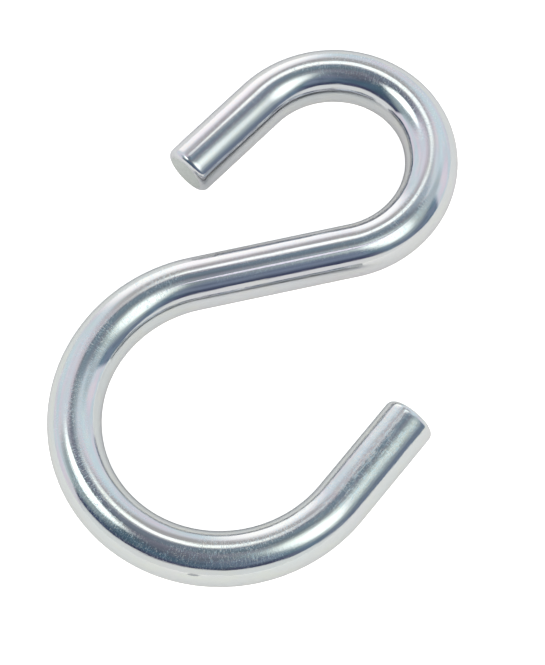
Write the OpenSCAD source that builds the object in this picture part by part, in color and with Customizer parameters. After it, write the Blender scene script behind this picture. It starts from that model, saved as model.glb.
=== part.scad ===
// Open S hook, bent from one straight length of round steel rod.
//
// It lies flat on Z = 0 with its long axis along Y: the small hook is at +Y,
// the large hook at -Y, and the origin is at the middle of its footprint.
// Each hook is a bend of one radius that runs on into a short straight with
// a square-cut end. A longer straight joins the two bends.

/* [Rod] */
// Diameter of the round rod, where it is straight
rod_diameter = 6; // [5:0.25:7]
// How much thinner the rod is in the bends, where bending stretches it
bend_thinning = 0.02; // [0.02:0.01:0.1]
// Radius of the rounded rim of each cut end
rim_radius = 0.7; // [0.3:0.1:1.2]

/* [Small hook] */
// Inside diameter of the small bend
small_inside_diameter = 16.5; // [13:0.25:20]
// Angle that the rod turns through in the small bend
small_bend_angle = 213.8; // [185:0.1:216]
// Straight length from the small bend to the cut end
small_end_length = 12.2; // [8:0.1:14]

/* [Large hook] */
// Inside diameter of the large bend
large_inside_diameter = 26.5; // [21:0.25:32]
// Angle that the rod turns through in the large bend
large_bend_angle = 219.5; // [185:0.1:225]
// Straight length from the large bend to the cut end
large_end_length = 12.4; // [8:0.1:16]

/* [Middle] */
// Straight length between the two bends
middle_length = 18.1; // [14:0.1:30]

/* [Hidden] */
$fn = 96;

rod_radius = rod_diameter / 2;
bend_rod_radius = (rod_diameter - bend_thinning) / 2;

// Radius of each bend, measured to the middle of the rod
small_bend_radius = small_inside_diameter / 2 + bend_rod_radius;
large_bend_radius = large_inside_diameter / 2 + bend_rod_radius;

// The thinner bend runs on into the straight at each of its ends by this
// angle, where it stays inside the straight, so that the two become one
lap_angle = 1;

// The middle straight crosses the line between the bend centres. It turns
// this far from X, so that the line runs along Y.
both_radii = small_bend_radius + large_bend_radius;
middle_heading = atan(middle_length / both_radii);

// How far the middle straight runs from that crossing to each bend, and how
// far each bend centre is from it
small_run = middle_length * small_bend_radius / both_radii;
large_run = middle_length * large_bend_radius / both_radii;
small_centre = norm([small_run, small_bend_radius]);
large_centre = norm([large_run, large_bend_radius]);

// How far the rounded corner of a cut end reaches from the line between the
// bend centres, on the side that its hook opens to
function end_reach(bend_radius, bend_angle, end_length) =
    let (heading = middle_heading + bend_angle - 180)
        (bend_radius + rod_radius - rim_radius) * sin(heading)
        + (end_length - rim_radius) * cos(heading) + rim_radius;

// How far the footprint reaches from the crossing, each way
reach_left = max(large_bend_radius + bend_rod_radius,
    end_reach(small_bend_radius, small_bend_angle, small_end_length));
reach_right = max(small_bend_radius + bend_rod_radius,
    end_reach(large_bend_radius, large_bend_angle, large_end_length));
reach_up = small_centre + small_bend_radius + bend_rod_radius;
reach_down = large_centre + large_bend_radius + bend_rod_radius;

// Straight rod along +Z, with the rim of its far end rounded
module end_straight(length) {
    rotate_extrude() {
        square([rod_radius, length - rim_radius]);
        square([rod_radius - rim_radius, length]);
        translate([rod_radius - rim_radius, length - rim_radius])
            intersection() {
                circle(r = rim_radius);
                square(rim_radius);
            }
    }
}

// One bend with its end straight. It takes over from the middle straight,
// which comes along X from the origin, after the given run.
module bend_and_end(run, bend_radius, bend_angle, end_length) {
    translate([run, bend_radius, 0])
        rotate([0, 0, -90]) {
            rotate_extrude(angle = bend_angle + 2 * lap_angle, start = -lap_angle)
                translate([bend_radius, 0])
                    circle(r = bend_rod_radius);
            rotate([0, 0, bend_angle])
                translate([bend_radius, 0, 0])
                    rotate([-90, 0, 0])
                        end_straight(end_length);
        }
}

// The whole hook, in one piece
module hook() {
    color([0.78, 0.81, 0.86])
        translate([(reach_left - reach_right) / 2, (reach_down - reach_up) / 2, rod_radius])
            rotate([0, 0, middle_heading]) {
                translate([-large_run, 0, 0])
                    rotate([0, 90, 0])
                        cylinder(h = middle_length, r = rod_radius);
                bend_and_end(small_run, small_bend_radius, small_bend_angle, small_end_length);
                rotate([0, 0, 180])
                    bend_and_end(large_run, large_bend_radius, large_bend_angle, large_end_length);
            }
}

hook();
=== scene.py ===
# %% [markdown]
# # A zinc plated S hook
# This lesson models one bent steel hook, gives it a bright zinc finish, and
# lights it on a pale table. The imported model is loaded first. It is a fixed
# frame: everything made later has to sit exactly where it says. Its box is
# measured straight away, before anything is added.

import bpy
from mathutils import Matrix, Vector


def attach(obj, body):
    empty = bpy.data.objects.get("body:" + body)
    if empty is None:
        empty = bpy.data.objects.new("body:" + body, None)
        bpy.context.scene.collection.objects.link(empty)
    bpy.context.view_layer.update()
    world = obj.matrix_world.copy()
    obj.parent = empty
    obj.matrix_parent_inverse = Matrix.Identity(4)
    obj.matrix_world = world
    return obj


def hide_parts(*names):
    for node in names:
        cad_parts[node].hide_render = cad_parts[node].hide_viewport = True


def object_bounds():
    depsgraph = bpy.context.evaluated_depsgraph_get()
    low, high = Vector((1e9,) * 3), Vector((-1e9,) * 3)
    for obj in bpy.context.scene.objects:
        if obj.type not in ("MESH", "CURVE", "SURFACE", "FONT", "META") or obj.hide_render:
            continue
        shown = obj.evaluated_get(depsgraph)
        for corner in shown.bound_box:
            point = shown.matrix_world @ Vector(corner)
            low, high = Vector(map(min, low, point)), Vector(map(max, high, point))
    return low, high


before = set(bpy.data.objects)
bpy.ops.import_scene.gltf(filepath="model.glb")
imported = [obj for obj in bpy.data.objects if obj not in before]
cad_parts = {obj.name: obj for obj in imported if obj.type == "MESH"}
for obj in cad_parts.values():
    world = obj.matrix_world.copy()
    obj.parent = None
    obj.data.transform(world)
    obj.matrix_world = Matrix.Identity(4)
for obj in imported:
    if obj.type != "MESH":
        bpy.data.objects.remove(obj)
cad_low, cad_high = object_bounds()
print("CAD box, mm:", [round(v * 1000, 2) for v in (*cad_low, *cad_high)])

# %% Tools that the lesson uses
from math import atan, atan2, cos, degrees, hypot, pi, radians, sin

import bpy
from mathutils import Matrix, Vector

print("Blender", bpy.app.version_string)

# %% [markdown]
# ## The rod and its bends
# The real hook is cropped from a straight rod and bent cold round two pegs.
# So its shape needs only a few sizes: the rod, the two bends and the three
# straights. The hook lies flat and is one rod high, so the frame's height
# gives the rod. A hair's breadth is taken off all round, which keeps every
# facet inside the frame.

# %% Sizes of the bent rod, in metres
MM = 0.001
INSIDE_FRAME = 0.02 * MM
ROD_RADIUS = (cad_high.z - cad_low.z) / 2 - INSIDE_FRAME
ROD_HEIGHT = (cad_high.z + cad_low.z) / 2
SMALL_BEND_RADIUS = 8.25 * MM + ROD_RADIUS
SMALL_BEND_ANGLE = radians(213.8)
SMALL_END_LENGTH = 12.2 * MM
LARGE_BEND_RADIUS = 13.25 * MM + ROD_RADIUS
LARGE_BEND_ANGLE = radians(219.5)
LARGE_END_LENGTH = 12.4 * MM
MIDDLE_LENGTH = 18.1 * MM
RIM_RADIUS = 0.7 * MM
print("rod, mm:", round(2 * ROD_RADIUS / MM, 2))


# %% Walk along the rod's centreline
def forward(heading):
    return Vector((cos(heading), sin(heading), 0))


def to_the_left(heading):
    return Vector((-sin(heading), cos(heading), 0))


print("heading 0 points along", tuple(forward(0)))

# %% [markdown]
# The middle straight crosses the line between the two bend centres, and that
# line runs along Y. The large bend reaches the frame's left side, less a small
# gap, and the small bend touches its far side. Those facts place the route.

# %% Place the route inside the frame
SIDE_GAP = 0.01 * MM
both_radii = SMALL_BEND_RADIUS + LARGE_BEND_RADIUS
middle_heading = atan(MIDDLE_LENGTH / both_radii)
small_run = MIDDLE_LENGTH * SMALL_BEND_RADIUS / both_radii
centre_x = cad_low.x + LARGE_BEND_RADIUS + ROD_RADIUS + SIDE_GAP
small_centre_y = cad_high.y - ROD_RADIUS - SMALL_BEND_RADIUS
crossing_y = small_centre_y - hypot(small_run, SMALL_BEND_RADIUS)
crossing = Vector((centre_x, crossing_y, ROD_HEIGHT))
print("middle straight leans", round(degrees(middle_heading), 2), "degrees from X")

# %% Walk back from the crossing to the small hook's cut end
small_centre = (crossing + forward(middle_heading) * small_run
                + to_the_left(middle_heading) * SMALL_BEND_RADIUS)
start_heading = middle_heading + SMALL_BEND_ANGLE + pi
bend_start = small_centre + to_the_left(start_heading) * SMALL_BEND_RADIUS
rod_start = bend_start - forward(start_heading) * SMALL_END_LENGTH
print("small hook's cut end, mm:", [round(v / MM, 2) for v in rod_start])

# %% [markdown]
# Now the rod is walked from end to end, one leg at a time. A straight has a
# length, and a bend has a radius and a turn, positive to the left. A bend's
# wear says how much its skin shows the bending: on this hook the large bend is
# the rougher of the two.

# %% The route, leg by leg
route = [
    {"length": SMALL_END_LENGTH},
    {"radius": SMALL_BEND_RADIUS, "turn": -SMALL_BEND_ANGLE, "wear": 0.45},
    {"length": MIDDLE_LENGTH},
    {"radius": LARGE_BEND_RADIUS, "turn": LARGE_BEND_ANGLE, "wear": 1.0},
    {"length": LARGE_END_LENGTH},
]
point, heading, run = rod_start.copy(), start_heading, 0.0
for leg in route:
    leg.update(start=point.copy(), heading=heading, before=run)
    if "turn" in leg:
        inner_side = 1 if leg["turn"] > 0 else -1
        leg["centre"] = point + to_the_left(heading) * inner_side * leg["radius"]
        leg["length"] = leg["radius"] * abs(leg["turn"])
        heading += leg["turn"]
        point = leg["centre"] - to_the_left(heading) * inner_side * leg["radius"]
    else:
        point = point + forward(heading) * leg["length"]
    run += leg["length"]
rod_end, end_heading, rod_length = point, heading, run
print("rod length along its middle, mm:", round(rod_length / MM, 1))

# %% [markdown]
# ## Model the hook
# A bent rod could be a curve with a round bevel. Here it is made the way the
# bender makes it: a ring of edges is drawn out straight, swept round the
# first peg, drawn out again, and so on. Extrude makes the straights and Spin
# makes the bends, so every ring stays square to the rod.

# %% Start with an open ring at the small hook's cut end
RING_POINTS = 128
BEND_STEP = 0.5 * MM
STRAIGHT_STEP = 1.0 * MM

bpy.ops.object.select_all(action="DESELECT")
bpy.ops.mesh.primitive_circle_add(
    vertices=RING_POINTS, radius=ROD_RADIUS, fill_type="NOTHING",
    location=rod_start, rotation=(0, pi / 2, start_heading))
hook = bpy.context.object
hook.name = "zinc_hook"
bpy.ops.object.transform_apply(location=True, rotation=True, scale=True)
print(hook.name, "starts with", len(hook.data.vertices), "points")

# %% Draw it out and bend it, leg by leg
# Spin counts its angle clockwise seen from above, so a left turn is negative.
bpy.ops.object.mode_set(mode="EDIT")
bpy.ops.mesh.select_all(action="SELECT")
for leg in route:
    if "turn" in leg:
        steps = round(leg["length"] / BEND_STEP)
        bpy.ops.mesh.spin(steps=steps, angle=-leg["turn"], center=leg["centre"], axis=(0, 0, 1))
    else:
        steps = round(leg["length"] / STRAIGHT_STEP)
        step = forward(leg["heading"]) * leg["length"] / steps
        for _ in range(steps):
            bpy.ops.mesh.extrude_region_move(TRANSFORM_OT_translate={"value": step})
bpy.ops.mesh.select_all(action="DESELECT")
bpy.ops.object.mode_set(mode="OBJECT")
print("rings:", len(hook.data.vertices) // RING_POINTS)

# %% [markdown]
# ## Close the cut ends
# The rod is cropped square, and tumbling before plating takes the sharp edge
# off. Each open ring is filled with one face, and the edge round it is
# bevelled. The edges are found by their place, never by their number.

# %% Fill each end and round its edge
RIM_STEPS = 8
NEAR_END = 0.01 * MM
JUST_OVER = 1.001
rod_ends = {
    "small hook's end": (rod_start, -forward(start_heading)),
    "large hook's end": (rod_end, forward(end_heading)),
}
for name, (end, outward) in rod_ends.items():
    mesh = hook.data
    for edge in mesh.edges:
        edge.select = all((mesh.vertices[v].co - end).length < ROD_RADIUS * JUST_OVER
                          and abs((mesh.vertices[v].co - end).dot(outward)) < NEAR_END
                          for v in edge.vertices)
    bpy.ops.object.mode_set(mode="EDIT")
    bpy.ops.mesh.select_mode(type="EDGE")
    bpy.ops.mesh.edge_face_add()
    bpy.ops.mesh.bevel(offset=RIM_RADIUS, segments=RIM_STEPS, affect="EDGES")
    bpy.ops.mesh.select_all(action="DESELECT")
    bpy.ops.object.mode_set(mode="OBJECT")
    print(name, "closed, faces now", len(hook.data.polygons))

# %% Point every face outwards and shade it smooth
SAME_POINT = 0.001 * MM
SHARP_FROM = radians(30)
bpy.ops.object.mode_set(mode="EDIT")
bpy.ops.mesh.select_all(action="SELECT")
bpy.ops.mesh.remove_doubles(threshold=SAME_POINT)
bpy.ops.mesh.normals_make_consistent(inside=False)
bpy.ops.mesh.select_all(action="DESELECT")
bpy.ops.object.mode_set(mode="OBJECT")
bpy.ops.object.shade_smooth_by_angle(angle=SHARP_FROM)
print("triangles:", sum(len(face.vertices) - 2 for face in hook.data.polygons))

# %% [markdown]
# ## Say where each point lies on the rod
# Drawing lines run along the rod and stretch marks run across its bends. So
# the finish has to follow the rod, not the room. Each point is given its
# place on the straight rod before bending: across, up and along. A second
# value says how much bending has roughened the skin: 0 on a straight, the
# bend's own wear on a bend, and more outside it than inside. The large hook's
# end is rough too, as a bending lever would leave it.


# %% Find a point's place on the route
def on_leg(point, leg):
    if "turn" not in leg:
        along = (point - leg["start"]).dot(forward(leg["heading"]))
        across = (point - leg["start"]).dot(to_the_left(leg["heading"]))
        return along, across
    spoke = point - leg["centre"]
    inner_side = 1 if leg["turn"] > 0 else -1
    first = leg["start"] - leg["centre"]
    turned = (atan2(spoke.y, spoke.x) - atan2(first.y, first.x)) * inner_side % (2 * pi)
    if turned > abs(leg["turn"]) + (2 * pi - abs(leg["turn"])) / 2:
        turned -= 2 * pi
    across = (leg["radius"] - hypot(spoke.x, spoke.y)) * inner_side
    return turned * leg["radius"], across


def on_route(point):
    options = []
    for leg in route:
        along, across = on_leg(point, leg)
        outside = max(-along, along - leg["length"], 0)
        options.append((hypot(outside, across), along, across, leg))
    _, along, across, leg = min(options, key=lambda option: option[0])
    return leg["before"] + along, across, leg


middle_along, _, _ = on_route(crossing)
print("the crossing is", round(middle_along / MM, 1), "mm along the rod")

# %% Store the place and the strain on the mesh
STRAIN_FADE = 3.0 * MM
OUTSIDE_SHARE = 0.4
LEVER_RUB = 0.8
mesh = hook.data
bends = [leg for leg in route if "turn" in leg]
places, strains = [], []
for vertex in mesh.vertices:
    along, across, leg = on_route(vertex.co)
    places += (across, vertex.co.z - ROD_HEIGHT, along)
    strain = 0.0
    for bend in bends:
        inside = min(along - bend["before"], bend["before"] + bend["length"] - along)
        share = min(max(inside / STRAIN_FADE, 0.0), 1.0)
        outwards = across / ROD_RADIUS * (-1 if bend["turn"] > 0 else 1)
        strain += share * bend["wear"] * (1 + OUTSIDE_SHARE * outwards)
    if leg is route[-1]:
        strain = max(strain, LEVER_RUB)
    strains.append(strain)
mesh.attributes.new("rod_place", "FLOAT_VECTOR", "POINT").data.foreach_set("vector", places)
mesh.attributes.new("bend_strain", "FLOAT", "POINT").data.foreach_set("value", strains)
print("points placed on the rod:", len(strains), "largest strain:", round(max(strains), 2))

# %% [markdown]
# ## Helpers for node trees
# Materials and the studio are built from nodes. Four short helpers keep that
# readable: one makes any node, one does sums, one fades between two values,
# and one mixes two colours.


# %% Make, join and fade
def node(tree, kind, inputs=None, **settings):
    made = tree.nodes.new("ShaderNode" + kind)
    for name, value in settings.items():
        setattr(made, name, value)
    for socket, value in (inputs or {}).items():
        if isinstance(value, bpy.types.NodeSocket):
            tree.links.new(value, made.inputs[socket])
        else:
            made.inputs[socket].default_value = value
    return made


def maths(tree, operation, *values):
    return node(tree, "Math", dict(enumerate(values)), operation=operation).outputs[0]


def fade(tree, value, start, end, low=0.0, high=1.0):
    made = node(tree, "MapRange", {
        "Value": value, "From Min": start, "From Max": end, "To Min": low, "To Max": high,
    }, interpolation_type="SMOOTHSTEP")
    return made.outputs["Result"]


def mix(tree, share, first, second, blend_type="MIX"):
    made = node(tree, "Mix", data_type="RGBA", blend_type=blend_type, clamp_factor=True)
    sockets = (made.inputs[0], made.inputs[6], made.inputs[7])
    for socket, value in zip(sockets, (share, first, second)):
        if isinstance(value, bpy.types.NodeSocket):
            tree.links.new(value, socket)
        else:
            socket.default_value = value
    return made.outputs[2]


print("node helpers are ready")

# %% [markdown]
# ## The zinc finish
# Bright zinc is a thin plated coat on drawn steel. The steel's own marks show
# through it: long drawing lines, a fine grain, and short marks across the
# bends where cold bending has stretched the skin. The clear passivation over
# the zinc adds faint violet, blue and yellow-green tints. All of it is made
# from noise in the rod's own coordinates, so nothing breaks at a bend. The
# grain is strongest on the top and bottom of the rod, as if plates had
# pressed it there, and weak round its sides.

# %% Start a material, and read the rod's own coordinates in millimetres
PER_METRE = (1000, 1000, 1000)


def start_material(name):
    made = bpy.data.materials.new(name)
    made.use_nodes = True
    made.node_tree.nodes.clear()
    stored = node(made.node_tree, "Attribute", attribute_name="rod_place").outputs["Vector"]
    in_mm = node(made.node_tree, "VectorMath", {0: stored, 1: PER_METRE}, operation="MULTIPLY")
    return made, made.node_tree, in_mm.outputs[0]


def noise(tree, vector, stretch, detail, roughness=0.5):
    """Noise from 0 to 1 with so many features a millimetre: across, up and along."""
    scaled = node(tree, "VectorMath", {0: vector, 1: stretch}, operation="MULTIPLY").outputs[0]
    return node(tree, "TexNoise", {
        "Vector": scaled, "Scale": 1.0, "Detail": detail, "Roughness": roughness}).outputs["Fac"]


zinc, tree, place = start_material("bright_zinc")
strain = node(tree, "Attribute", attribute_name="bend_strain").outputs["Fac"]
print(zinc.name, "is started")

# %% Marks in the metal
drawing_lines = noise(tree, place, (2.6, 2.6, 0.05), detail=4.0, roughness=0.65)
fine_lines = noise(tree, place, (9.0, 9.0, 0.4), detail=2.0)
stretch_marks = noise(tree, place, (1.3, 1.3, 9.0), detail=4.0, roughness=0.75)
grain = noise(tree, place, (5.5, 5.5, 5.5), detail=3.0, roughness=0.75)
waviness = noise(tree, place, (0.35, 0.35, 0.12), detail=2.0)
rub_streaks = noise(tree, place, (4.5, 4.5, 0.7), detail=3.0, roughness=0.6)
print("kinds of mark: 6, in", len(tree.nodes), "nodes")

# %% Where plates press the rod, and where a lever rubs it, in millimetres
PLATE_FROM, PLATE_FULL = 2.15, 2.65
SIDE_SHARE = 0.2
RUB_RUN_UP = 14.0
_, raised, far_along = node(tree, "SeparateXYZ", {"Vector": place}).outputs
from_middle = maths(tree, "ABSOLUTE", raised)
pressed = fade(tree, from_middle, PLATE_FROM, PLATE_FULL, low=SIDE_SHARE)
rub_start = (rod_length - LARGE_END_LENGTH) / MM
rub = fade(tree, far_along, rub_start - RUB_RUN_UP, rub_start)
print("the lever's rub is full from", round(rub_start, 1), "mm along the rod")

# %% [markdown]
# Two marks belong to this one hook. A thin line is scored along the top of the
# middle straight, as a flaw in the drawing die would leave, and something has
# nicked the large bend low on its outside. Each is a soft-edged patch,
# measured on the straight rod: a place, and how far the mark reaches across,
# up and along.


# %% A patch on the rod: 1 in its middle, fading to 0 at its edge
def patch(tree, vector, centre, reach):
    offset = node(tree, "VectorMath", {0: vector, 1: centre}, operation="SUBTRACT").outputs[0]
    scaled = node(tree, "VectorMath", {0: offset, 1: reach}, operation="DIVIDE").outputs[0]
    distance = node(tree, "VectorMath", {0: scaled}, operation="LENGTH").outputs["Value"]
    return fade(tree, distance, 1.0, 0.5)


die_line = patch(tree, place, centre=(1.0, 2.8, 62.0), reach=(0.13, 0.6, 17.0))
nick = patch(tree, place, centre=(-2.46, 1.68, 117.3), reach=(0.15, 0.15, 0.7))
print("the scored line and the nick are placed")

# %% [markdown]
# ### Height
# These marks are a few thousandths of a millimetre deep, far too fine for the
# mesh. So they are added up as one height, and a Bump node tilts the light by
# it. Stretch marks and grain are low on a straight and grow with the bending.
# The nick goes in, and all the other marks stand out.

# %% How tall each kind of mark is, in thousandths of a millimetre
DRAWING_TALL, FINE_TALL, WAVE_TALL = 9.0, 1.6, 25.0
STRETCH_TALL, STRETCH_GROWS = 0.8, 2.5
GRAIN_TALL, GRAIN_GROWS = 1.4, 1.5
RUB_TALL, LINE_TALL, NICK_TALL = 9.0, 12.0, -30.0
MOST_BENT = 1.3
bent = maths(tree, "MINIMUM", strain, MOST_BENT)
stretch_tall = maths(tree, "MULTIPLY_ADD", bent, STRETCH_GROWS, STRETCH_TALL)
stretch_tall = maths(tree, "MULTIPLY", stretch_tall, pressed)
grain_tall = maths(tree, "MULTIPLY_ADD", bent, GRAIN_GROWS, GRAIN_TALL)
grain_tall = maths(tree, "MULTIPLY", grain_tall, pressed)
rub_tall = maths(tree, "MULTIPLY", rub, RUB_TALL)
print("the waviness is tallest:", WAVE_TALL / 1000, "mm")

# %% Add the marks up as one height
MICRON = 0.001 * MM
height = maths(tree, "MULTIPLY", drawing_lines, DRAWING_TALL)
height = maths(tree, "MULTIPLY_ADD", fine_lines, FINE_TALL, height)
height = maths(tree, "MULTIPLY_ADD", waviness, WAVE_TALL, height)
height = maths(tree, "MULTIPLY_ADD", stretch_marks, stretch_tall, height)
height = maths(tree, "MULTIPLY_ADD", grain, grain_tall, height)
height = maths(tree, "MULTIPLY_ADD", rub_streaks, rub_tall, height)
height = maths(tree, "MULTIPLY_ADD", die_line, LINE_TALL, height)
height = maths(tree, "MULTIPLY_ADD", nick, NICK_TALL, height)
bump = node(tree, "Bump", {"Height": height, "Distance": MICRON, "Strength": 1.0})
print("marks in the height: 8, in", len(tree.nodes), "nodes")

# %% [markdown]
# ### Gloss
# Fresh zinc is nearly a mirror. Every dull spot is a place where the skin has
# opened: a peak of the grain, a stretch mark or a rub streak. One roughness
# for the whole rod would be simpler, but the sparkle of a bend comes from
# small dull spots side by side with mirror. Noise stays close to 0.5, so a
# spot starts just above that and is full a little higher.

# %% Dull spots, where the skin has opened
grain_spots = fade(tree, grain, 0.545, 0.63)
stretch_spots = fade(tree, stretch_marks, 0.525, 0.63)
rub_spots = maths(tree, "MULTIPLY", fade(tree, rub_streaks, 0.50, 0.62), rub)
dull_spots = maths(tree, "MAXIMUM", grain_spots, stretch_spots)
dull_spots = maths(tree, "MAXIMUM", dull_spots, rub_spots)
print("dull spots come from 3 kinds of mark")

# %% Gloss: bright on the straights, duller in the grain of the bends
MIRROR_ROUGHNESS = 0.03
SPOT_ROUGHNESS = 0.33
DRAWING_ROUGHNESS = 0.04
SCAR_ROUGHNESS = 0.4
LEAST_DULL = 0.5
worn_areas = noise(tree, place, (0.5, 0.5, 0.15), detail=2.0)
worn = fade(tree, worn_areas, 0.36, 0.54, low=0.2)
dull_share = maths(tree, "MULTIPLY_ADD", bent, 1 - LEAST_DULL, LEAST_DULL)
dull_share = maths(tree, "MULTIPLY", dull_share, worn)
dull = maths(tree, "MULTIPLY", dull_spots, dull_share)
dull = maths(tree, "MULTIPLY", dull, pressed)
scarred = maths(tree, "MAXIMUM", die_line, nick)
roughness = maths(tree, "MULTIPLY_ADD", dull, SPOT_ROUGHNESS, MIRROR_ROUGHNESS)
roughness = maths(tree, "MULTIPLY_ADD", drawing_lines, DRAWING_ROUGHNESS, roughness)
roughness = maths(tree, "MULTIPLY_ADD", scarred, SCAR_ROUGHNESS, roughness)
print("roughness starts from", MIRROR_ROUGHNESS)

# %% [markdown]
# ### Colour
# A metal's colour tints all that it mirrors, so small steps go far. The
# passivation gives broad blue and violet areas with straw patches between
# them, mostly grey. Dull spots are flecks of blue-green and cream, the nick is
# dark, and the scored line is a pale lilac.

# %% Tints of the passivation
ZINC_GREY = (0.68, 0.70, 0.71, 1.0)
ZINC_BLUE = (0.62, 0.68, 0.74, 1.0)
ZINC_VIOLET = (0.68, 0.66, 0.72, 1.0)
ZINC_STRAW = (0.71, 0.725, 0.67, 1.0)
STRAIGHT_TINT = (1.02, 0.99, 1.01, 1.0)
BENT_TINT = (1.00, 1.00, 0.99, 1.0)
TINT_SHARE = 0.26
broad = noise(tree, place, (0.22, 0.22, 0.05), detail=2.0)
patchy = noise(tree, place, (1.1, 1.1, 0.35), detail=3.0)
colour = mix(tree, fade(tree, broad, 0.42, 0.62), ZINC_BLUE, ZINC_VIOLET)
colour = mix(tree, fade(tree, patchy, 0.45, 0.68), colour, ZINC_STRAW)
colour = mix(tree, TINT_SHARE, ZINC_GREY, colour)
by_bending = mix(tree, bent, STRAIGHT_TINT, BENT_TINT)
colour = mix(tree, 1.0, colour, by_bending, "MULTIPLY")
print("tints so far:", len(tree.nodes), "nodes")

# %% Flecks, the nick and the scored line
FLECK_BLUE = (0.62, 0.80, 0.88, 1.0)
FLECK_CREAM = (0.84, 0.82, 0.78, 1.0)
FLECK_SHARE = 0.65
NICK_DARK = (0.34, 0.34, 0.38, 1.0)
NICK_SHARE = 0.5
LINE_LILAC = (0.94, 0.88, 0.98, 1.0)
fleck_hue = noise(tree, place, (4.0, 4.0, 4.0), detail=1.0)
fleck = mix(tree, fade(tree, fleck_hue, 0.46, 0.62), FLECK_BLUE, FLECK_CREAM)
colour = mix(tree, maths(tree, "MULTIPLY", dull, FLECK_SHARE), colour, fleck)
colour = mix(tree, maths(tree, "MULTIPLY", nick, NICK_SHARE), colour, NICK_DARK)
colour = mix(tree, die_line, colour, LINE_LILAC)
print("flecks and marks are coloured")

# %% The zinc surface
EDGE_TINT = (0.83, 0.82, 0.85, 1.0)
LINE_LOSS = -0.2
metal = maths(tree, "MULTIPLY_ADD", die_line, LINE_LOSS, 1.0)
surface = node(tree, "BsdfPrincipled", {
    "Base Color": colour, "Metallic": metal, "Roughness": roughness,
    "Normal": bump.outputs["Normal"], "Specular Tint": EDGE_TINT})
node(tree, "OutputMaterial", {"Surface": surface.outputs["BSDF"]})
mesh.materials.append(zinc)
print(zinc.name, "has", len(tree.nodes), "nodes")

# %% [markdown]
# ## The cut faces
# The cropped ends are plated too, but the torn steel under the zinc leaves
# them matt and pale. They get their own material, with the small ridges that
# the cropping blade leaves.

# %% The cropped ends
CROPPED_DARK = (0.58, 0.61, 0.60, 1.0)
CROPPED_PALE = (0.67, 0.69, 0.68, 1.0)
RIDGE_TALL, PIT_TALL = 45.0, 18.0
cropped, tree, place = start_material("cropped_end")
blade_ridges = noise(tree, place, (0.5, 2.2, 1.0), detail=4.0, roughness=0.6)
pits = noise(tree, place, (3.5, 3.5, 3.5), detail=3.0, roughness=0.6)
height = maths(tree, "MULTIPLY", blade_ridges, RIDGE_TALL)
height = maths(tree, "MULTIPLY_ADD", pits, PIT_TALL, height)
bump = node(tree, "Bump", {"Height": height, "Distance": MICRON, "Strength": 1.0})
colour = mix(tree, fade(tree, pits, 0.35, 0.65), CROPPED_DARK, CROPPED_PALE)
roughness = fade(tree, blade_ridges, 0.3, 0.7, low=0.38, high=0.52)
surface = node(tree, "BsdfPrincipled", {
    "Base Color": colour, "Metallic": 1.0, "Roughness": roughness,
    "Normal": bump.outputs["Normal"]})
node(tree, "OutputMaterial", {"Surface": surface.outputs["BSDF"]})
mesh.materials.append(cropped)
print(cropped.name, "has", len(tree.nodes), "nodes")

# %% Give it to the two flat faces
FACING = 0.999
cut_faces = 0
for face in mesh.polygons:
    for end, outward in rod_ends.values():
        if face.normal.dot(outward) > FACING and abs((face.center - end).dot(outward)) < NEAR_END:
            face.material_index = 1
            cut_faces += 1
print("matt cut faces:", cut_faces)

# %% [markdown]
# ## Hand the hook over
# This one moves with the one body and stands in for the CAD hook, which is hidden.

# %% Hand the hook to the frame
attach(hook, "root")
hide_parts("hook")
print(hook.name, "now stands for the CAD hook")

# %% [markdown]
# ## The table
# Polished metal has no look of its own: it shows what stands round it. So the
# table is part of the finish. It is a wide plane of pale warm paper, which the
# lower half of the rod reflects. A plain diffuse plane would do, but then the
# rod's shadow greys it. A little glow, seen only by the camera's own rays,
# keeps it plain and pale without changing what the metal reflects.

# %% A pale table
TABLE_SIZE = 3.0
TABLE_GLOW = 0.8
PAPER_DARK = (0.70, 0.695, 0.67, 1.0)
PAPER_PALE = (0.74, 0.735, 0.71, 1.0)
bpy.ops.object.select_all(action="DESELECT")
bpy.ops.mesh.primitive_plane_add(size=TABLE_SIZE, location=(0, 0, 0))
table = bpy.context.object
table.name = "pale_table"
paper = bpy.data.materials.new("pale_paper")
paper.use_nodes = True
tree = paper.node_tree
tree.nodes.clear()
where = node(tree, "TexCoord").outputs["Object"]
fibres = node(tree, "TexNoise", {"Vector": where, "Scale": 900.0, "Detail": 3.0}).outputs["Fac"]
colour = mix(tree, fade(tree, fibres, 0.3, 0.7), PAPER_DARK, PAPER_PALE)
sheet = node(tree, "BsdfPrincipled", {
    "Base Color": colour, "Roughness": 0.9, "Specular IOR Level": 0.2})
glow = node(tree, "Emission", {"Strength": TABLE_GLOW})
seen = node(tree, "LightPath").outputs["Is Camera Ray"]
unlit = node(tree, "Emission", {"Strength": 0.0})
lift = node(tree, "MixShader", {0: seen, 1: unlit.outputs[0], 2: glow.outputs[0]})
both = node(tree, "AddShader", {0: sheet.outputs["BSDF"], 1: lift.outputs[0]})
node(tree, "OutputMaterial", {"Surface": both.outputs[0]})
table.data.materials.append(paper)
print("table, m:", TABLE_SIZE, "and its paper has", len(tree.nodes), "nodes")

# %% [markdown]
# ## The camera
# The hook is seen from above and a little to the right, close up. A camera can
# be turned with a Track To constraint. Here it is placed from three angles and
# a distance instead, because those say plainly where a person would stand. A
# long lens keeps the two bends from spreading apart at the edges.

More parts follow.
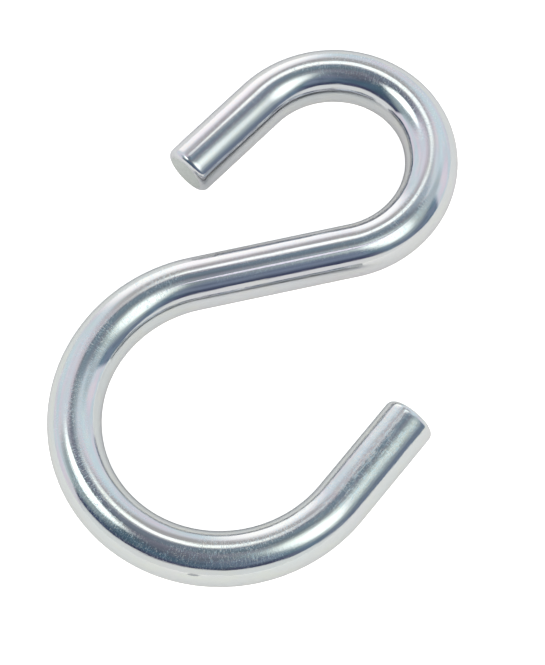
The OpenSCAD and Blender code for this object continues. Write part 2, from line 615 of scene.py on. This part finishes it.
# %% Stand the camera
CAMERA_AZIMUTH = radians(27.75)
CAMERA_HEIGHT_ANGLE = radians(66.4)
CAMERA_ROLL = radians(-6.75)
CAMERA_DISTANCE = 278.2 * MM
CAMERA_TARGET = Vector((0.036, -2.804, 3.0)) * MM
SENSOR_WIDTH_MM = 36
LENS_MM = 136.96
backwards = Vector((sin(CAMERA_AZIMUTH) * cos(CAMERA_HEIGHT_ANGLE),
                    -cos(CAMERA_AZIMUTH) * cos(CAMERA_HEIGHT_ANGLE),
                    sin(CAMERA_HEIGHT_ANGLE)))
camera_data = bpy.data.cameras.new("camera")
camera_data.sensor_width = SENSOR_WIDTH_MM
camera_data.lens = LENS_MM
camera = bpy.data.objects.new("camera", camera_data)
camera.location = CAMERA_TARGET + backwards * CAMERA_DISTANCE
aim = backwards.to_track_quat("Z", "Y").to_matrix() @ Matrix.Rotation(CAMERA_ROLL, 3, "Z")
camera.rotation_euler = aim.to_euler()
bpy.context.scene.collection.objects.link(camera)
bpy.context.scene.camera = camera
bpy.context.scene.view_settings.view_transform = "Standard"
print("camera height, mm:", round(camera.location.z / MM, 1))

# %% [markdown]
# ## The studio
# A bent rod mirrors the whole room in narrow bands, so the room matters more
# than any lamp. It could be built from walls and softboxes. A world made from
# directions is quicker to change: each ray asks how far right, away and up it
# points, and gets a colour for that. The far side is a light wall, the near
# side and the ceiling are dim, and a pale sill runs low round the dim half.

# %% The room, as a pattern of directions
world = bpy.data.worlds.new("studio")
bpy.context.scene.world = world
world.use_nodes = True
tree = world.node_tree
tree.nodes.clear()
direction = node(tree, "TexCoord").outputs["Generated"]
turned = node(tree, "VectorRotate", {"Vector": direction, "Angle": -CAMERA_AZIMUTH},
              rotation_type="Z_AXIS").outputs[0]
right, away, up = node(tree, "SeparateXYZ", {"Vector": turned}).outputs
to_right = maths(tree, "MAXIMUM", right, 0.0)
to_left = maths(tree, "MAXIMUM", maths(tree, "MULTIPLY", right, -1.0), 0.0)
to_front = maths(tree, "MAXIMUM", maths(tree, "MULTIPLY", away, -1.0), 0.0)
print(world.name, "reads the direction of each ray")

# %% The light half, the dark half and the pale sill
WALL = (0.84, 0.86, 0.89, 1.0)
DARK_LEFT = (0.09, 0.145, 0.195, 1.0)
DARK_RIGHT = (0.20, 0.27, 0.34, 1.0)
DARKEST = (0.055, 0.057, 0.115, 1.0)
DARK_TOP = (0.24, 0.26, 0.29, 1.0)
SILL = (0.90, 0.91, 0.89, 1.0)
# The sill's top edge rises to the front and the left, and drops to the right.
SILL_TO_FRONT, SILL_TO_LEFT, SILL_TO_RIGHT = -0.43, -0.16, 0.2


def weighted(tree, *terms):
    total = 0.0
    for value, weight in terms:
        total = maths(tree, "MULTIPLY_ADD", value, weight, total)
    return total


ceiling_share = fade(tree, right, -0.05, 0.15, low=-0.5, high=-0.28)
edge = weighted(tree, (away, 1.0), (to_left, 0.2), (to_right, 0.23), (up, ceiling_share))
is_dark = maths(tree, "MAXIMUM", fade(tree, edge, 0.03, -0.05), fade(tree, up, 0.86, 0.96))
dark = mix(tree, fade(tree, right, -0.5, 0.35), DARK_LEFT, DARK_RIGHT)
dark = mix(tree, fade(tree, up, 0.75, 1.0, high=0.7), dark, DARK_TOP)
low_down = weighted(tree, (up, 1.0), (to_front, SILL_TO_FRONT), (to_left, SILL_TO_LEFT))
deepest = fade(tree, low_down, 0.32, 0.06, high=0.85)
deepest = maths(tree, "MULTIPLY", deepest, fade(tree, right, 0.55, 0.2))
dark = mix(tree, deepest, dark, DARKEST)
room = mix(tree, is_dark, WALL, dark)
above_sill = weighted(tree, (up, 1.0), (to_front, SILL_TO_FRONT),
                      (to_left, SILL_TO_LEFT), (to_right, SILL_TO_RIGHT))
is_sill = fade(tree, above_sill, 0.03, -0.02)
print("the plain room has", len(tree.nodes), "nodes")

# %% Things in the room: faint colours, light and shade, and then the sill
COOL = (0.92, 1.04, 1.06, 1.0)
WARM = (1.08, 0.96, 1.02, 1.0)
UNSHADED = (1.0, 1.0, 1.0, 1.0)
clutter = node(tree, "TexNoise", {
    "Vector": turned, "Scale": 5.0, "Detail": 4.0, "Roughness": 0.6}).outputs["Fac"]
hue = node(tree, "TexNoise", {"Vector": turned, "Scale": 2.3, "Detail": 2.0}).outputs["Fac"]
tint = mix(tree, fade(tree, hue, 0.40, 0.62), COOL, WARM)
room = mix(tree, 1.0, room, tint, "MULTIPLY")
shade = fade(tree, clutter, 0.35, 0.65, low=0.82, high=1.18)
shade = mix(tree, fade(tree, is_dark, 0.0, 1.0, low=0.25), UNSHADED, shade)
room = mix(tree, 1.0, room, shade, "MULTIPLY")
room = mix(tree, maths(tree, "MULTIPLY", is_sill, is_dark), room, SILL)
print("with its clutter the room has", len(tree.nodes), "nodes")

# %% [markdown]
# ## Windows
# The sharp white lines on the rod are windows and lit walls. Each is a soft
# oval of light on the sky: how far round it is from straight ahead, how high,
# its half width and half height, all in degrees, then its colour and how soft
# its edge is. The broad dim glows come first, and the bright windows lie over
# them.


# %% Soft windows of light
def dot(tree, vector, axis):
    return node(tree, "VectorMath", {0: vector, 1: axis}, operation="DOT_PRODUCT").outputs["Value"]


def window(tree, ray, softness, azimuth, height_angle, half_width, half_height):
    toward = Vector((sin(azimuth) * cos(height_angle),
                     cos(azimuth) * cos(height_angle),
                     sin(height_angle)))
    sideways = Vector((cos(azimuth), -sin(azimuth), 0))
    upwards = sideways.cross(toward)
    distance = 0.0
    for axis, size in ((sideways, sin(half_width)), (upwards, sin(half_height))):
        offset = dot(tree, ray, axis / size)
        distance = maths(tree, "MULTIPLY_ADD", offset, offset, distance)
    facing = dot(tree, ray, toward)
    inside = fade(tree, distance, 1 + softness, 1 - softness)
    return maths(tree, "MULTIPLY", inside, maths(tree, "GREATER_THAN", facing, 0.0))


WINDOWS = (
    ("halo", 6, 46, 20, 18, (0.50, 0.49, 0.49, 1.0), 0.8),
    ("left glow", -84, 42, 15, 18, (0.40, 0.48, 0.50, 1.0), 0.9),
    ("right glow", 92, 47, 16, 13, (0.55, 0.62, 0.66, 1.0), 0.8),
    ("right front glow", 126, 54, 18, 28, (0.58, 0.66, 0.64, 1.0), 0.9),
    ("far wall slot", -12, 4, 15, 28, (1.45, 1.42, 1.38, 1.0), 0.8),
    ("far window", 8, 56, 10, 7, (1.50, 1.56, 1.50, 1.0), 0.6),
    ("left window", -74, 58, 12, 11, (2.0, 2.10, 2.0, 1.0), 0.6),
    ("right front window", 131, 56, 12, 20, (1.60, 1.70, 1.62, 1.0), 0.9),
)
for name, *angles, light, softness in WINDOWS:
    share = window(tree, turned, softness, *(radians(angle) for angle in angles))
    room = mix(tree, share, room, light)
    print("lit:", name)
background = node(tree, "Background", {"Color": room, "Strength": 1.0})
node(tree, "OutputWorld", {"Surface": background.outputs[0]})
print(len(WINDOWS), "windows and glows in a world of", len(tree.nodes), "nodes")

# %% [markdown]
# ## The lamp
# The room lights the rod, and one large soft lamp lights the table. It stands
# low behind the camera, so each rod's shadow falls away from it, and the
# metal shows that shadow as the thin dark edge along the inside of the bends.
# The lamp itself is hidden from reflections.

# %% A soft lamp for the table
LAMP_REACH = 2.0
LAMP_RISE = 0.52
LAMP_SIZE = 1.3
LAMP_WATTS = 73
LAMP_COLOUR = (1.0, 0.975, 0.93)
lamp_data = bpy.data.lights.new("table_lamp", "AREA")
lamp_data.shape = "SQUARE"
lamp_data.size = LAMP_SIZE
lamp_data.energy = LAMP_WATTS
lamp_data.color = LAMP_COLOUR
lamp = bpy.data.objects.new("table_lamp", lamp_data)
lamp_side = Vector((sin(CAMERA_AZIMUTH), -cos(CAMERA_AZIMUTH), LAMP_RISE)).normalized()
lamp.location = lamp_side * LAMP_REACH
lamp.rotation_euler = lamp_side.to_track_quat("Z", "Y").to_euler()
lamp.visible_glossy = False
bpy.context.scene.collection.objects.link(lamp)
print("lamp stands", round(lamp.location.z, 2), "m above the table")
